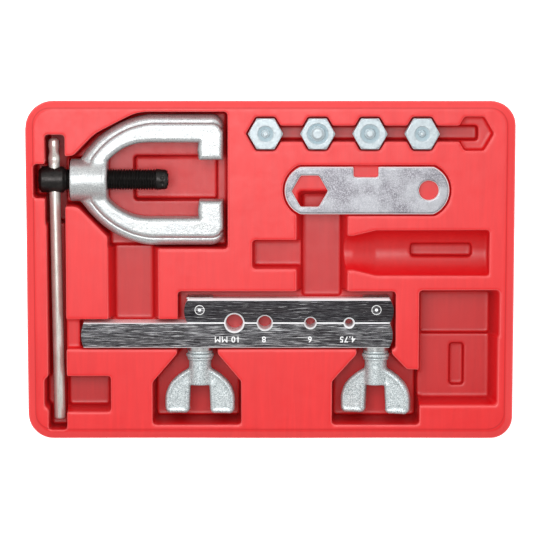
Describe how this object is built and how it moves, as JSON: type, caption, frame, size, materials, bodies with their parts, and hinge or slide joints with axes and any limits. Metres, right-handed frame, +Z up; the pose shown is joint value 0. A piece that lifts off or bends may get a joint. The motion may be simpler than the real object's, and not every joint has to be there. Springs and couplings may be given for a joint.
{
  "type": "tube flaring tool set",
  "caption": "Screw-driven yoke, split flaring bar with wing-nut clamps, hexagonal flaring adapters and a flat spanner, laid in a moulded storage tray.",
  "frame": {"origin": "on the storage tray's underside, at the middle of the pocket layout, less than 1 mm from the middle of the tray", "axes": "+X along the tray and the flaring bar, away from the yoke's screw head; +Y from the wing nuts towards the adapters; +Z up out of the tray"},
  "size_m": [0.2738, 0.1912, 0.0406],
  "materials": {
    "tray_plastic": "blow-moulded, satin",
    "forged_zinc": "rough forging, bright zinc plate",
    "black_steel": "black oxide, oiled",
    "nickel": "nickel plate",
    "jaw_steel": "ground lengthwise, plated",
    "zinc_steel": "zinc plate",
    "adapter_zinc": "turned, zinc plate",
    "spanner_zinc": "pressed, speckled zinc plate"
  },
  "bodies": {
    "tray": {"storage_tray": "tray_plastic"},
    "yoke_frame": {"yoke": "forged_zinc"},
    "nose": {"swivel_nose": "black_steel", "thrust_ball": "nickel"},
    "screw": {"forcing_screw": "black_steel"},
    "cross_handle": {"tommy_bar": "nickel"},
    "bar_long_side": {"long_jaw": "jaw_steel", "washer_left": "zinc_steel", "washer_right": "zinc_steel"},
    "bar_short_side": {"short_jaw": "jaw_steel", "clamp_bolt_left": "zinc_steel", "clamp_bolt_right": "zinc_steel", "cross_pin_left": "jaw_steel", "cross_pin_right": "jaw_steel"},
    "wing_left": {"wing_nut_left": "forged_zinc"},
    "wing_right": {"wing_nut_right": "forged_zinc"},
    "loose_adapter_6": {"adapter_6": "adapter_zinc"},
    "loose_adapter_10": {"adapter_10": "adapter_zinc"},
    "loose_adapter_8": {"adapter_8": "adapter_zinc"},
    "loose_adapter_4_75": {"adapter_4_75": "adapter_zinc"},
    "loose_spanner": {"spanner": "spanner_zinc"}
  },
  "joints": [
    {"name": "yoke_lift", "type": "slide", "parent": "tray", "child": "yoke_frame", "axis": [0, 0, 1], "range_m": [0, 0.06]},
    {"name": "screw_feed", "type": "slide", "parent": "yoke_frame", "child": "nose", "axis": [-1, 0, 0], "range_m": [0, 0.00063]},
    {"name": "screw_turn", "type": "hinge", "parent": "nose", "child": "screw", "pos_m": [-0.0576, 0.05, 0.028], "axis": [-1, 0, 0], "range_deg": [0, 150]},
    {"name": "cross_handle_slide", "type": "slide", "parent": "screw", "child": "cross_handle", "axis": [-0.0122, 0.9999, 0], "range_m": [-0.0015, 0.0015]},
    {"name": "bar_lift", "type": "slide", "parent": "tray", "child": "bar_long_side", "axis": [0, 0, 1], "range_m": [0, 0.06]},
    {"name": "wing_left_turn", "type": "hinge", "parent": "bar_long_side", "child": "wing_left", "pos_m": [-0.0395, -0.05, 0.0315], "axis": [0, -1, 0], "range_deg": [0, 720]},
    {"name": "wing_right_turn", "type": "hinge", "parent": "bar_long_side", "child": "wing_right", "pos_m": [0.0597, -0.05, 0.0315], "axis": [0, -1, 0], "range_deg": [0, 720]},
    {"name": "jaw_open", "type": "slide", "parent": "bar_long_side", "child": "bar_short_side", "axis": [0, 1, 0], "range_m": [0, 0.0025]},
    {"name": "adapter_6_lift", "type": "slide", "parent": "tray", "child": "loose_adapter_6", "axis": [0, 0, 1], "range_m": [0, 0.04]},
    {"name": "adapter_10_lift", "type": "slide", "parent": "tray", "child": "loose_adapter_10", "axis": [0, 0, 1], "range_m": [0, 0.04]},
    {"name": "adapter_8_lift", "type": "slide", "parent": "tray", "child": "loose_adapter_8", "axis": [0, 0, 1], "range_m": [0, 0.04]},
    {"name": "adapter_4_75_lift", "type": "slide", "parent": "tray", "child": "loose_adapter_4_75", "axis": [0, 0, 1], "range_m": [0, 0.04]},
    {"name": "spanner_lift", "type": "slide", "parent": "tray", "child": "loose_spanner", "axis": [0, 0, 1], "range_m": [0, 0.04]}
  ],
  "couplings": [
    {"joint": "screw_feed", "follows": "screw_turn", "m_per_rad": 0.00023873},
    {"joint": "wing_left_turn", "follows": "jaw_open", "rad_per_m": 5026.5},
    {"joint": "wing_right_turn", "follows": "jaw_open", "rad_per_m": 5026.5}
  ]
}
